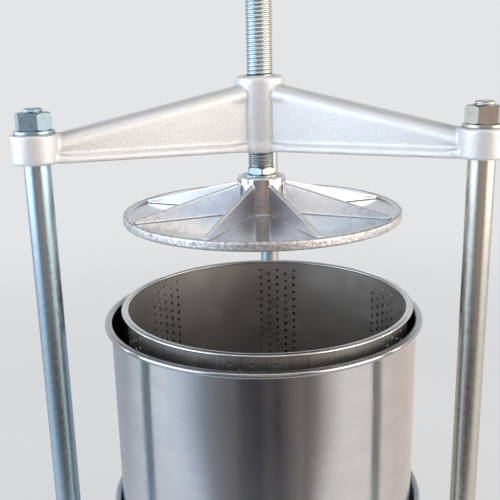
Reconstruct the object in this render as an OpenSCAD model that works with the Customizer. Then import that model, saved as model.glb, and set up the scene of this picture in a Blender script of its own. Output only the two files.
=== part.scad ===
// Three-post spindle fruit press. Millimetres, +Z up.
// The origin is on the spindle's axis, at the underside of the feet. The rear post stands on +Y.

/* [Basket] */
// Inside diameter of the perforated basket at its rims
basket_in_d = 245; // [200:0.5:290]
// Height of the basket, rim to rim
basket_h = 220; // [160:1:300]
// Sheet thickness of the basket and the jacket
sheet_t = 1; // [0.8:0.1:1.5]
// Width that the basket's rolled rims stand out from its wall
basket_rim_w = 4.6; // [3:0.1:9]
// Width that the rims stand in from the wall
basket_rim_in = 0.3; // [0.3:0.1:1]
// Height of the basket's rolled rims
basket_rim_h = 2.2; // [2:0.1:5]
// Diameter of the drain holes in the basket
hole_d = 3; // [2:0.1:3.6]
// Distance between hole columns round the wall
hole_column_pitch = 8.6; // [6:0.1:10]
// Distance between holes in one column
hole_row_pitch = 7.9; // [6:0.1:12]
// Distance from the basket's ends to the first row of holes
hole_margin = 9.8; // [8:0.1:20]
// Hole groups round the basket
hole_groups = 6; // [3:1:6]
// Columns in one group
hole_columns = 5; // [3:1:5]
// Turn of the first group from the rear post, clockwise from above
hole_turn = 3.2; // [0:0.1:30]

/* [Jacket] */
// Least gap between the basket's rim and the jacket
jacket_gap = 1.99; // [0.5:0.01:12]
// Height from the jacket's lower edge to the middle of its bead
jacket_h = 212.9; // [150:0.1:320]
// Width of the rolled bead on the jacket's top edge, from the inside of the sheet
bead_w = 6.4; // [5:0.1:9]
// Height of the bead
bead_h = 4.6; // [3:0.1:5]
// Width of the notch in the jacket's lower edge, in front of the spout
notch_w = 26; // [22:1:34]
// Height of the notch
notch_h = 18; // [16:1:24]

/* [Tray] */
// Gap all round between the jacket and the tray's wall, when both are centred
tray_play = 3.05; // [1:0.05:6]
// Wall and floor thickness of the tray
tray_t = 3; // [2:0.1:4]
// Width of the tray's rounded rim
tray_rim_w = 5.45; // [5:0.05:9]
// Height of the tray's rounded rim
tray_rim_h = 9; // [7:0.1:14]
// Outside height of the tray
tray_h = 44.3; // [36:0.1:70]
// Height of the tray's underside above the floor
tray_z = 95; // [90:1:160]
// Diameter of the pads under the tray
pad_d = 24; // [20:1:28]
// Height of the pads under the tray
pad_h = 5; // [4:0.5:8]
// Distance of the pads from the axis
pad_r = 96; // [70:1:110]

/* [Spout] */
// Bore of the spout
spout_bore_d = 16; // [10:0.5:18]
// Wall thickness of the spout
spout_t = 1.5; // [1:0.1:2]
// Length that the spout stands out from the tray's wall
spout_len = 48; // [30:1:80]
// Height of the spout's bore above the tray's floor
spout_lift = 0.5; // [0:0.1:3]

/* [Drain plate] */
// Thickness of the drain plate
drain_t = 1.5; // [1:0.1:3]
// Height of the drain plate's feet
drain_foot_h = 3.5; // [2:0.1:6]
// Diameter of the drain plate's feet
drain_foot_d = 10; // [6:0.5:14]
// Diameter of the holes in the drain plate
drain_hole_d = 5; // [3:0.5:7]
// Distance between rings of holes in the drain plate
drain_ring_pitch = 22; // [18:1:26]
// Rings of holes in the drain plate
drain_rings = 4; // [2:1:4]

/* [Posts] */
// Post diameter
post_d = 20; // [16:1:24]
// Gap between the tray's rim and the posts
post_gap = 34.8; // [12:0.1:60]
// Diameter of the post's threaded ends
post_end_d = 16; // [12:1:16]

/* [Feet] */
// Thickness of the foot's flange
foot_t = 8; // [6:0.5:14]
// Outer diameter of the foot's socket
foot_socket_d = 32; // [30:1:40]
// Height of the foot
foot_h = 34; // [26:1:50]
// Distance from the post to the foot's bolt hole
foot_bolt_reach = 32; // [30:1:50]
// Diameter of the bolt hole
foot_bolt_d = 9; // [6:0.5:11]
// Radius of the flange round the bolt hole
foot_nose_r = 13; // [10:0.5:16]

/* [Base frame] */
// Height of the base frame's arms
base_h = 16; // [12:1:24]
// Width of the base frame's arms
base_arm_w = 26; // [22:1:32]
// Diameter of the base frame's middle
base_hub_d = 64; // [40:1:90]
// Outer diameter of the base frame's sockets
base_socket_d = 36; // [32:1:42]
// Height of the base frame's sockets
base_socket_h = 26; // [20:1:36]
// Set screw diameter
set_screw_d = 8; // [5:0.5:8]
// Screw diameter under the tray
tray_screw_d = 6; // [4:0.5:6]

/* [Yoke] */
// Gap between the thrust nut's top and the yoke's underside at rest
yoke_gap = 14.1; // [12:0.1:60]
// Diameter of the yoke's hub
hub_d = 41.2; // [38:0.1:60]
// Height of the yoke's hub
hub_h = 61.8; // [50:0.1:90]
// Edge radius at the top of the hub
hub_edge_r = 4; // [2:0.1:4]
// Diameter of the collar at the foot of the hub
hub_collar_d = 46; // [44:0.1:66]
// Height of an arm on the spindle's axis
arm_root_h = 57.9; // [46:0.1:80]
// Height of an arm at the post
arm_tip_h = 17.7; // [14:0.1:30]
// Rise of an arm's underside from the axis to the post
arm_rise = 5; // [0:0.1:10]
// Web thickness
web_t = 21; // [10:0.1:22]
// Width of the rounded rail along an arm's top
rail_w = 23; // [16:0.1:26]
// Height of the rail
rail_h = 9; // [7:0.1:12]
// Edge radius of the rail
rail_edge_r = 8.5; // [3:0.1:9]
// Width of the flange along an arm's underside
flange_w = 27; // [20:0.1:34]
// Thickness of the flange
flange_t = 6.9; // [4:0.1:9]
// Diameter of the boss on the post
boss_d = 36; // [30:1:46]
// Height of the boss
boss_h = 22; // [18:1:36]

/* [Spindle] */
// Outer diameter of the thread
spindle_d = 22; // [18:0.5:26]
// Thread pitch
thread_pitch = 3.2; // [2:0.1:5]
// Running clearance round the spindle and its neck, on the radius
running_gap = 0.05; // [0.02:0.01:0.1]
// Diameter of the spindle's neck in the press plate
neck_d = 16; // [12:0.5:17]
// Gap between the press plate and the basket's rim at rest
plate_gap = 76.2; // [40:0.1:120]
// Gap between the press plate and the drain plate at the end of the stroke
stroke_gap = 8.2; // [4:0.1:40]
// Gap between the spindle's head and the yoke at the end of the stroke
head_gap = 10; // [5:1:30]
// Outer diameter of the spindle bush
bush_d = 30; // [28:0.5:34]
// Length of the spindle bush
bush_h = 50; // [30:1:56]
// Diameter of the grub screw that holds the bush
bush_screw_d = 6; // [4:0.5:8]

/* [Press plate] */
// Gap all round between the press plate and the basket, when both are centred
plate_play = 3; // [1.5:0.1:6]
// Height of the plate's rim
plate_rim_h = 7.6; // [6:0.1:12]
// Width of the plate's rim
plate_rim_w = 4.4; // [3:0.1:8]
// Thickness of the plate's floor
plate_floor_t = 5; // [4:0.1:6]
// Height of the plate's hub above its underside
plate_hub_h = 36.2; // [30:0.1:50]
// Diameter of the hub's top
plate_hub_d = 41.4; // [36:0.1:50]
// Diameter of the hub's foot
plate_hub_foot_d = 43.6; // [40:0.1:56]
// Ribs
rib_count = 8; // [4:1:12]
// Rib thickness
rib_t = 3.6; // [2.5:0.1:6]
// Distance from the hub's top down to a rib's top
rib_drop = 5.7; // [2:0.1:10]
// Gap between a rib's end and the rim
rib_end_gap = 1.8; // [0.5:0.1:6]
// Angle of the first rib from +X
rib_turn = 24.9; // [0:0.1:45]
// Diameter of the recess under the hub
recess_d = 34; // [30:0.5:36]
// Depth of the recess
recess_h = 9; // [8:0.5:14]

/* [Thrust nut and washers] */
// Width across flats of the thrust nut
nut_af = 22; // [20:0.5:30]
// Turn of the thrust nut's front corner to the right
nut_turn = 6; // [0:1:30]
// Height of the thrust nut
nut_h = 6.4; // [5:0.1:16]
// Thickness of the thrust washer
thrust_washer_t = 1.2; // [1:0.1:4]
// Outer diameter of the thrust washer
thrust_washer_d = 30; // [26:0.5:36]
// Thickness of the end washer
end_washer_t = 3; // [2:0.1:4]
// Outer diameter of the end washer
end_washer_d = 30; // [26:0.5:30]
// Thickness of the retaining ring
ring_t = 1.5; // [1:0.1:2]
// Width of the retaining ring
ring_w = 3.5; // [2.5:0.1:5]
// Depth of the ring's groove in the neck
groove_depth = 1; // [0.6:0.1:1.5]

/* [Post nuts] */
// Width across flats of the nuts on the posts
post_nut_af = 24; // [22:0.5:30]
// Height of the nuts on the posts
post_nut_h = 13; // [8:0.5:16]
// Diameter of the washers under the nuts
post_washer_d = 30; // [26:1:36]
// Thickness of the washers
post_washer_t = 2.5; // [1.5:0.1:4]
// Length of thread that stands above each nut
thread_stand = 3; // [1:0.5:6]

/* [Head and handle] */
// Diameter of the spindle's head
head_d = 36; // [30:1:44]
// Height of the spindle's head
head_h = 40; // [36:1:60]
// Diameter of the handle bar
bar_d = 16; // [12:0.5:18]
// Length of the handle bar between its knobs
bar_len = 400; // [240:5:520]
// Diameter of a knob
knob_d = 34; // [26:1:44]
// Depth of a knob's socket, and of the head's
socket_h = 14; // [10:0.5:16]
// Diameter of the pin through the head
pin_d = 6; // [4:0.5:7]

/* [Hidden] */
$fn = 96;
// Overrun of a cut past a face, and fixed angles
over = 1;
rear = 90;
post_angles = [rear, rear + 120, rear + 240];
spout_angle = -90;

// Radius of a nut's flat face, as a share of half its width across flats
nut_face_share = 0.96;

// Radii from the basket outwards
basket_in_r = basket_in_d / 2;
basket_wall_r = basket_in_r + basket_rim_in;
basket_out_r = basket_wall_r + sheet_t;
basket_rim_r = basket_out_r + basket_rim_w;
plate_r = basket_in_r - plate_play;

// The basket stands loose, a little to the right of the axis, and the jacket a little to the left
basket_off_share = 0.87;
jacket_off_share = 0.23;
basket_x = plate_play * basket_off_share;
jacket_x = -tray_play * jacket_off_share;

// Radii from the jacket outwards
jacket_in_r = basket_rim_r + basket_x - jacket_x + jacket_gap;
jacket_out_r = jacket_in_r + sheet_t;
tray_in_r = jacket_out_r + tray_play;
tray_wall_r = tray_in_r + tray_t;
tray_out_r = tray_in_r + tray_rim_w;
post_r = tray_out_r + post_gap + post_d / 2;

// Heights from the floor upwards
tray_floor_z = tray_z + tray_t;
drain_z = tray_floor_z + drain_foot_h;
basket_z = drain_z + drain_t;
rim_z = basket_z + basket_h;
plate_z = rim_z + plate_gap;
plate_floor_z = plate_z + plate_floor_t;
plate_hub_z = plate_z + plate_hub_h;
nut_z = plate_hub_z + thrust_washer_t;
nut_top_z = nut_z + nut_h;
yoke_z = nut_top_z + yoke_gap;
hub_top_z = yoke_z + hub_h;
boss_z = yoke_z + arm_rise;
boss_top_z = boss_z + boss_h;
stroke = plate_z - basket_z - stroke_gap;
head_z = hub_top_z + stroke + head_gap;
bar_z = head_z + head_h - bar_d;
head_pin_z = head_z + socket_h / 2;

// Base frame under the tray's pads
base_top_z = tray_z - pad_h;
base_z = base_top_z - base_h;
base_socket_z = base_z - (base_socket_h - base_h) / 2;
set_screw_z = base_socket_z + base_socket_h / 2;
foot_floor_z = foot_t;

// A hexagon of the given width across flats
module hexagon(af) {
    circle(d = af / cos(30), $fn = 6);
}

// A plain round washer standing on z
module washer(od, id, t, z) {
    translate([0, 0, z]) linear_extrude(t) difference() {
        circle(d = od);
        circle(d = id);
    }
}

// Copies of a piece at the three posts
module at_posts() {
    for (a = post_angles) rotate(a) translate([post_r, 0, 0]) children();
}

// One post on its own angle
module post(angle) {
    end_z = boss_top_z + post_washer_t + post_nut_h + thread_stand;
    chamfer = post_end_d / 12;
    rotate(angle) translate([post_r, 0, 0]) rotate_extrude() polygon([
        [0, foot_floor_z],
        [post_d / 2 - chamfer, foot_floor_z],
        [post_d / 2, foot_floor_z + chamfer],
        [post_d / 2, boss_z],
        [post_end_d / 2, boss_z],
        [post_end_d / 2, end_z - chamfer],
        [post_end_d / 2 - chamfer, end_z],
        [0, end_z]
    ]);
}

module post_left() {
    color("silver") post(post_angles[1]);
}

module post_right() {
    color("silver") post(post_angles[2]);
}

module post_rear() {
    color("silver") post(post_angles[0]);
}

// A cast foot: a socket for the post and a flange with a bolt hole that points outwards
module foot(angle) {
    base_r = foot_socket_d / 2 + foot_t / 2;
    bevel = foot_t / 4;
    tangent = acos((base_r - foot_nose_r) / foot_bolt_reach);
    near = [base_r * cos(tangent), base_r * sin(tangent)];
    far = [foot_bolt_reach + foot_nose_r * cos(tangent), foot_nose_r * sin(tangent)];
    rotate(angle) translate([post_r, 0, 0]) difference() {
        union() {
            cylinder(r = base_r, h = foot_t);
            translate([foot_bolt_reach, 0, 0]) cylinder(r = foot_nose_r, h = foot_t);
            linear_extrude(foot_t) polygon([near, far, [far[0], -far[1]], [near[0], -near[1]]]);
            cylinder(d = foot_socket_d, h = foot_h - bevel);
            translate([0, 0, foot_h - bevel])
                cylinder(d1 = foot_socket_d, d2 = foot_socket_d - 2 * bevel, h = bevel);
        }
        translate([0, 0, foot_floor_z]) cylinder(d = post_d, h = foot_h);
        translate([foot_bolt_reach, 0, -over]) cylinder(d = foot_bolt_d, h = foot_t + 2 * over);
    }
}

module foot_left() {
    color("gray") foot(post_angles[1]);
}

module foot_right() {
    color("gray") foot(post_angles[2]);
}

module foot_rear() {
    color("gray") foot(post_angles[0]);
}

// The cast spider that joins the posts and carries the tray
module base_frame() {
    rib_w = base_arm_w / 3;
    color("gray") difference() {
        union() {
            translate([0, 0, base_z]) cylinder(d = base_hub_d, h = base_h);
            for (a = post_angles) rotate(a) {
                translate([0, -base_arm_w / 2, base_top_z - base_h / 2])
                    cube([post_r, base_arm_w, base_h / 2]);
                translate([0, -rib_w / 2, base_z]) cube([post_r, rib_w, base_h]);
                translate([pad_r, 0, base_z]) cylinder(d = pad_d, h = base_h);
            }
            at_posts() translate([0, 0, base_socket_z]) cylinder(d = base_socket_d, h = base_socket_h);
        }
        at_posts() translate([0, 0, base_socket_z - over])
            cylinder(d = post_d, h = base_socket_h + 2 * over);
        at_posts() translate([0, 0, set_screw_z]) rotate([0, 90, 0])
            cylinder(d = set_screw_d, h = base_socket_d);
        for (a = post_angles) rotate(a) translate([pad_r, 0, base_z - over])
            cylinder(d = tray_screw_d, h = base_h + 2 * over);
    }
}

// Grub screws that lock the base frame to the posts
module base_set_screws() {
    screw_len = (base_socket_d - post_d) / 2 - set_screw_d / 8;
    color("dimgray") at_posts() translate([post_d / 2, 0, set_screw_z]) rotate([0, 90, 0])
        difference() {
            cylinder(d = set_screw_d, h = screw_len);
            translate([0, 0, screw_len / 2]) linear_extrude(screw_len) hexagon(set_screw_d / 2);
        }
}

// The juice tray: a round pan with a rounded rim, standing on three pads
module tray() {
    rim_z = tray_z + tray_h;
    corner = tray_t;
    edge = tray_rim_w / 2;
    color("lightsteelblue") difference() {
        union() {
            rotate_extrude() {
                polygon([
                    [0, tray_z],
                    [tray_wall_r - corner, tray_z],
                    [tray_wall_r, tray_z + corner],
                    [tray_wall_r, rim_z - edge],
                    [tray_in_r, rim_z - edge],
                    [tray_in_r, tray_floor_z],
                    [0, tray_floor_z]
                ]);
                translate([tray_in_r, rim_z - tray_rim_h + edge / 2])
                    square([tray_rim_w, tray_rim_h - edge - edge / 2]);
                translate([tray_in_r + edge, rim_z - edge]) circle(r = edge);
                translate([tray_in_r, rim_z - tray_rim_h])
                    square([tray_rim_w - edge / 2, edge]);
                translate([tray_out_r - edge / 2, rim_z - tray_rim_h + edge / 2])
                    circle(r = edge / 2);
            }
            for (a = post_angles) rotate(a) translate([pad_r, 0, base_top_z])
                cylinder(d = pad_d, h = pad_h + tray_t / 2);
        }
        for (a = post_angles) rotate(a) translate([pad_r, 0, base_top_z - over])
            cylinder(d = tray_screw_d, h = pad_h + over);
        spout_place() translate([0, 0, -tray_t]) cylinder(d = spout_bore_d, h = 3 * tray_t);
    }
}

// Screws from below, through the base frame into the tray's pads
module tray_screws() {
    head_h = tray_screw_d * 0.6;
    color("dimgray") for (a = post_angles) rotate(a) translate([pad_r, 0, base_z]) {
        cylinder(d = tray_screw_d, h = base_h + pad_h);
        translate([0, 0, -head_h]) difference() {
            cylinder(d = tray_screw_d * 1.7, h = head_h);
            translate([0, 0, -over]) linear_extrude(head_h / 2 + over) hexagon(tray_screw_d * 0.8);
        }
    }
}

// The spout's own frame: on the tray's inner wall, +Z pointing outwards
module spout_place() {
    spout_axis_z = tray_floor_z + spout_lift + spout_bore_d / 2;
    rotate(spout_angle) translate([tray_in_r, 0, spout_axis_z]) rotate([0, 90, 0]) children();
}

// A short pipe with a flange that is welded to the tray's wall and a mouth cut at a slant
module spout() {
    out_d = spout_bore_d + 2 * spout_t;
    slant = atan(2 * out_d / spout_len);
    end_z = tray_t + spout_len;
    color("lightsteelblue") difference() {
        spout_place() difference() {
            union() {
                cylinder(d = out_d, h = end_z);
                cylinder(d = out_d + 4 * spout_t, h = tray_t + spout_t);
            }
            translate([0, 0, -over]) cylinder(d = spout_bore_d, h = end_z + 2 * over);
            translate([out_d / 2, 0, end_z - spout_len / 2]) rotate([0, -slant, 0])
                translate([0, -out_d, 0]) cube([spout_len, 2 * out_d, spout_len]);
        }
        translate([0, 0, tray_z]) cylinder(r = tray_wall_r, h = tray_h);
    }
}

// The perforated plate under the basket
module drain_plate() {
    color("gainsboro") translate([basket_x, 0, 0]) {
        difference() {
            translate([0, 0, drain_z]) cylinder(r = basket_rim_r, h = drain_t);
            for (ring = [1 : drain_rings]) for (i = [0 : 6 * ring - 1])
                rotate(i * 60 / ring) translate([ring * drain_ring_pitch, 0, drain_z - over])
                    cylinder(d = drain_hole_d, h = drain_t + 2 * over);
        }
        for (a = [0 : 60 : 300]) rotate(a + 30)
            translate([basket_rim_r - drain_foot_d, 0, tray_floor_z])
                cylinder(d = drain_foot_d, h = drain_foot_h + drain_t / 2);
    }
}

// Section of a rolled rim round the basket's wall, its flat top at z = 0
module rim_section() {
    edge = basket_rim_h / 2;
    translate([basket_in_r, -basket_rim_h])
        square([basket_rim_r - edge - basket_in_r, basket_rim_h]);
    translate([basket_rim_r - edge, -edge]) circle(r = edge);
}

// The wall ends inside the rims, half way up their height
module basket_wall_span() {
    translate([0, 0, basket_rim_h / 2]) children();
}

// Drain holes of one column, drilled outwards along +X, the first at height top
module hole_column(top, low) {
    rows = floor((top - low) / hole_row_pitch);
    for (row = [0 : rows]) translate([basket_wall_r - over, 0, top - row * hole_row_pitch])
        rotate([0, 90, 0]) cylinder(d = hole_d, h = sheet_t + 2 * over);
}

// The wall round one group of holes, flat from column to column, centred on +X.
// Every second column stands half a row lower.
module hole_field(column_turn) {
    angles = [for (i = [0 : hole_columns]) (i - hole_columns / 2) * column_turn];
    difference() {
        basket_wall_span() linear_extrude(basket_h - basket_rim_h) polygon(concat(
            [for (i = [0 : hole_columns]) basket_wall_r * [cos(angles[i]), sin(angles[i])]],
            [for (i = [hole_columns : -1 : 0]) basket_out_r * [cos(angles[i]), sin(angles[i])]]
        ));
        for (column = [0 : hole_columns - 1]) rotate(angles[column] + column_turn / 2)
            hole_column(basket_h - hole_margin - column % 2 * hole_row_pitch / 2, hole_margin);
    }
}

// The bottomless basket: groups of holes with plain sheet between them, and two rolled rims
module basket() {
    turn = 360 / hole_groups;
    column_turn = hole_column_pitch / basket_wall_r * 180 / PI;
    field_turn = hole_columns * column_turn;
    color("gray") translate([basket_x, 0, basket_z]) {
        for (group = [0 : hole_groups - 1]) rotate(rear - hole_turn + group * turn) {
            hole_field(column_turn);
            basket_wall_span() rotate(field_turn / 2) rotate_extrude(angle = turn - field_turn)
                translate([basket_wall_r, 0]) square([sheet_t, basket_h - basket_rim_h]);
        }
        rotate_extrude() {
            translate([0, basket_h]) rim_section();
            translate([0, basket_rim_h]) rim_section();
        }
    }
}

// The jacket: a plain cylinder with a rolled bead
module jacket() {
    color("lightgray") translate([jacket_x, 0, tray_floor_z]) difference() {
        rotate_extrude() {
            translate([jacket_in_r, 0]) square([sheet_t, jacket_h]);
            translate([jacket_in_r + bead_h / 2, jacket_h - bead_h / 2])
                square([bead_w - bead_h, bead_h]);
            for (across = [bead_h / 2, bead_w - bead_h / 2])
                translate([jacket_in_r + across, jacket_h]) circle(d = bead_h);
        }
        rotate(spout_angle) translate([0, -notch_w / 2, -over])
            cube([jacket_out_r + bead_w, notch_w, notch_h + over]);
    }
}

// Section of the rail along an arm's top: flat below, both upper edges rounded
module rail_section() {
    translate([0, -rail_w / 2]) square([rail_h - rail_edge_r, rail_w]);
    translate([rail_h - rail_edge_r, -rail_w / 2 + rail_edge_r])
        square([rail_edge_r, rail_w - 2 * rail_edge_r]);
    for (side = [-1, 1]) translate([rail_h - rail_edge_r, side * (rail_w / 2 - rail_edge_r)])
        circle(r = rail_edge_r);
}

// One arm along +X from the axis to the post
module yoke_arm() {
    tip_top = arm_rise + arm_tip_h;
    fall = atan((arm_root_h - tip_top) / post_r);
    climb = atan(arm_rise / post_r);
    rail_len = post_r / cos(fall);
    rotate([90, 0, 0]) translate([0, 0, -web_t / 2]) linear_extrude(web_t) polygon([
        [0, 0],
        [post_r, arm_rise],
        [post_r, tip_top - rail_h / 2],
        [0, arm_root_h - rail_h / 2]
    ]);
    translate([0, 0, arm_root_h]) rotate([0, 90 + fall, 0]) translate([rail_h, 0, 0])
        mirror([1, 0, 0]) linear_extrude(rail_len) rail_section();
    rotate([0, -climb, 0]) translate([0, -flange_w / 2, 0])
        cube([post_r, flange_w, flange_t]);
    translate([post_r, 0, arm_rise]) cylinder(d = boss_d, h = boss_h);
}

// The cast crossbeam
module yoke() {
    crown_r = hub_d / 2 - hub_edge_r;
    color("gainsboro") translate([0, 0, yoke_z]) difference() {
        union() {
            cylinder(d = hub_d, h = hub_h - hub_edge_r);
            cylinder(r = crown_r, h = hub_h);
            translate([0, 0, hub_h - hub_edge_r]) rotate_extrude()
                translate([crown_r, 0]) circle(r = hub_edge_r);
            cylinder(d = hub_collar_d, h = flange_t);
            for (a = post_angles) rotate(a) yoke_arm();
        }
        bush_seat = hub_h - (hub_h - bush_h) / 2;
        translate([0, 0, -over]) cylinder(d = bush_d, h = bush_seat + over);
        translate([0, 0, -over]) cylinder(d = spindle_d + thread_pitch / 2, h = hub_h + 2 * over);
        at_posts() {
            translate([0, 0, -hub_h]) cylinder(d = post_end_d, h = 3 * hub_h);
            translate([0, 0, arm_rise - hub_h]) cylinder(d = boss_d + over, h = hub_h);
            translate([0, 0, arm_rise + boss_h]) cylinder(d = boss_d + over, h = hub_h);
        }
        bush_screw_place() cylinder(d = bush_screw_d, h = hub_d);
    }
}

// The bush screw's own frame: on the bush, between the right arm and the rear arm, +Z outwards
module bush_screw_place() {
    rotate(rear - 60) translate([bush_d / 2, 0, hub_h / 2]) rotate([0, 90, 0]) children();
}

module bush_screw() {
    screw_len = (hub_d - bush_d) / 2 - bush_screw_d / 8;
    color("dimgray") translate([0, 0, yoke_z]) bush_screw_place() difference() {
        cylinder(d = bush_screw_d, h = screw_len);
        translate([0, 0, screw_len / 2]) linear_extrude(screw_len) hexagon(bush_screw_d / 2);
    }
}

// The threaded bush in the hub, drawn with a plain bore at the thread's outer diameter
module spindle_bush() {
    bush_z = yoke_z + (hub_h - bush_h) / 2;
    color("goldenrod") washer(bush_d, spindle_d + 2 * running_gap, bush_h, bush_z);
}

module post_washers() {
    color("silver") at_posts() washer(post_washer_d, post_end_d, post_washer_t, boss_top_z);
}

module post_nuts() {
    color("silver") at_posts() translate([0, 0, boss_top_z + post_washer_t])
        linear_extrude(post_nut_h) difference() {
            hexagon(post_nut_af);
            circle(d = post_end_d);
        }
}

// The spindle: a threaded shaft, with a neck below for the press plate and one above for the head
module spindle() {
    r = spindle_d / 2;
    neck = neck_d / 2;
    lead = thread_pitch / 2;
    neck_end_z = plate_z + (recess_h - end_washer_t - ring_t) / 2;
    color("lightgray") difference() {
        rotate_extrude() polygon([
            [0, neck_end_z],
            [neck - lead / 2, neck_end_z],
            [neck, neck_end_z + lead / 2],
            [neck, nut_top_z],
            [r - lead, nut_top_z],
            [r, nut_top_z + lead],
            [r, head_z - lead],
            [r - lead, head_z],
            [neck, head_z],
            [neck, head_z + socket_h],
            [0, head_z + socket_h]
        ]);
        washer(neck_d + over, neck_d - 2 * groove_depth, ring_t, ring_z());
        head_pin_place() cylinder(d = pin_d, h = head_d, center = true);
    }
}

// Underside of the retaining ring
function ring_z() = plate_z + recess_h - end_washer_t - ring_t;

module thrust_nut() {
    face_r = nut_af / 2 * nut_face_share;
    cone_r = nut_af / 2 / cos(30) + over;
    color("silver") intersection() {
        translate([0, 0, nut_z]) rotate(nut_turn - spout_angle) linear_extrude(nut_h) difference() {
            hexagon(nut_af);
            circle(d = neck_d);
        }
        rotate_extrude() polygon([
            [0, nut_z],
            [cone_r, nut_z],
            [cone_r, nut_top_z - (cone_r - face_r) * tan(30)],
            [face_r, nut_top_z],
            [0, nut_top_z]
        ]);
    }
}

module thrust_washer() {
    color("silver") washer(thrust_washer_d, neck_d + 2 * running_gap, thrust_washer_t, plate_hub_z);
}

module end_washer() {
    color("silver") washer(end_washer_d, neck_d, end_washer_t, ring_z() + ring_t);
}

// An open spring ring in the neck's groove
module retaining_ring() {
    in_d = neck_d - 2 * groove_depth;
    color("dimgray") difference() {
        washer(in_d + 2 * ring_w, in_d, ring_t, ring_z());
        translate([0, -ring_w / 2, ring_z() - over]) cube([in_d + ring_w, ring_w, ring_t + 2 * over]);
    }
}

// The cast press plate: a dished disc with a raised rim, a tapered hub and triangular ribs
module press_plate() {
    rib_end = plate_r - plate_rim_w - rib_end_gap;
    rib_root = plate_hub_d / 2;
    edge = plate_rim_w / 4;
    color("gainsboro") difference() {
        union() {
            translate([0, 0, plate_z]) rotate_extrude() polygon([
                [0, 0],
                [plate_r - edge, 0],
                [plate_r, edge],
                [plate_r, plate_rim_h - edge],
                [plate_r - edge, plate_rim_h],
                [plate_r - plate_rim_w + edge, plate_rim_h],
                [plate_r - plate_rim_w, plate_floor_t],
                [plate_hub_foot_d / 2, plate_floor_t],
                [plate_hub_d / 2, plate_hub_h - edge],
                [plate_hub_d / 2 - edge, plate_hub_h],
                [0, plate_hub_h]
            ]);
            for (i = [0 : rib_count - 1]) rotate(rib_turn + i * 360 / rib_count)
                translate([0, rib_t / 2, plate_z]) rotate([90, 0, 0]) linear_extrude(rib_t) polygon([
                    [rib_root - rib_t, plate_floor_t - over],
                    [rib_end, plate_floor_t - over],
                    [rib_end, plate_rim_h],
                    [rib_root, plate_hub_h - rib_drop],
                    [rib_root - rib_t, plate_hub_h - rib_drop]
                ]);
        }
        translate([0, 0, plate_z - over]) cylinder(d = recess_d, h = recess_h + over);
        translate([0, 0, plate_z]) cylinder(d = neck_d + 2 * running_gap, h = plate_hub_h + over);
    }
}

// The head pin's own frame, across the spindle along Y
module head_pin_place() {
    translate([0, 0, head_pin_z]) rotate([90, 0, 0]) children();
}

// The turned head on top of the spindle, bored across for the handle bar
module spindle_head() {
    r = head_d / 2;
    edge = head_d / 12;
    color("silver") difference() {
        rotate_extrude() polygon([
            [0, head_z],
            [r - edge, head_z],
            [r, head_z + edge],
            [r, head_z + head_h - edge],
            [r - edge, head_z + head_h],
            [0, head_z + head_h]
        ]);
        translate([0, 0, head_z - over]) cylinder(d = neck_d, h = socket_h + over);
        translate([0, 0, bar_z]) rotate([0, 90, 0]) cylinder(d = bar_d, h = head_d + over, center = true);
        translate([0, 0, bar_z]) cylinder(d = pin_d, h = head_h);
        head_pin_place() cylinder(d = pin_d, h = head_d + over, center = true);
    }
}

module head_pin() {
    color("dimgray") head_pin_place() cylinder(d = pin_d, h = head_d - pin_d, center = true);
}

// The grub screw that holds the handle bar in the head
module bar_screw() {
    foot_z = bar_z + bar_d / 2;
    top_z = head_z + head_h - pin_d / 6;
    color("dimgray") difference() {
        translate([0, 0, foot_z]) cylinder(d = pin_d, h = top_z - foot_z);
        translate([0, 0, top_z - pin_d / 2]) linear_extrude(pin_d) hexagon(pin_d / 2);
    }
}

module handle_bar() {
    color("silver") translate([0, 0, bar_z]) rotate([0, 90, 0])
        cylinder(d = bar_d, h = bar_len + 2 * socket_h, center = true);
}

// A round knob with a flat where it meets the bar, on the side that is 1 or -1
module knob(side) {
    r = knob_d / 2;
    flat = sqrt(r * r - bar_d * bar_d * 0.4);
    color("dimgray") translate([side * (bar_len / 2 + flat), 0, bar_z]) rotate([0, 90 * side, 0])
        difference() {
            intersection() {
                sphere(r = r);
                translate([0, 0, -flat]) cylinder(r = r + over, h = knob_d);
            }
            translate([0, 0, -flat - over]) cylinder(d = bar_d, h = socket_h + over);
        }
}

module knob_left() {
    knob(-1);
}

module knob_right() {
    knob(1);
}

post_left();
post_right();
post_rear();
foot_left();
foot_right();
foot_rear();
base_frame();
base_set_screws();
tray();
tray_screws();
spout();
drain_plate();
basket();
jacket();
yoke();
spindle_bush();
bush_screw();
post_washers();
post_nuts();
spindle();
thrust_nut();
thrust_washer();
end_washer();
retaining_ring();
press_plate();
spindle_head();
head_pin();
bar_screw();
handle_bar();
knob_left();
knob_right();
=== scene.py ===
import math
from functools import partial

import bmesh
import bpy
from bpy.props import FloatProperty, FloatVectorProperty, IntProperty, PointerProperty
from bpy.types import Operator, Panel, PropertyGroup
from mathutils import Matrix, Vector, noise


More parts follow.
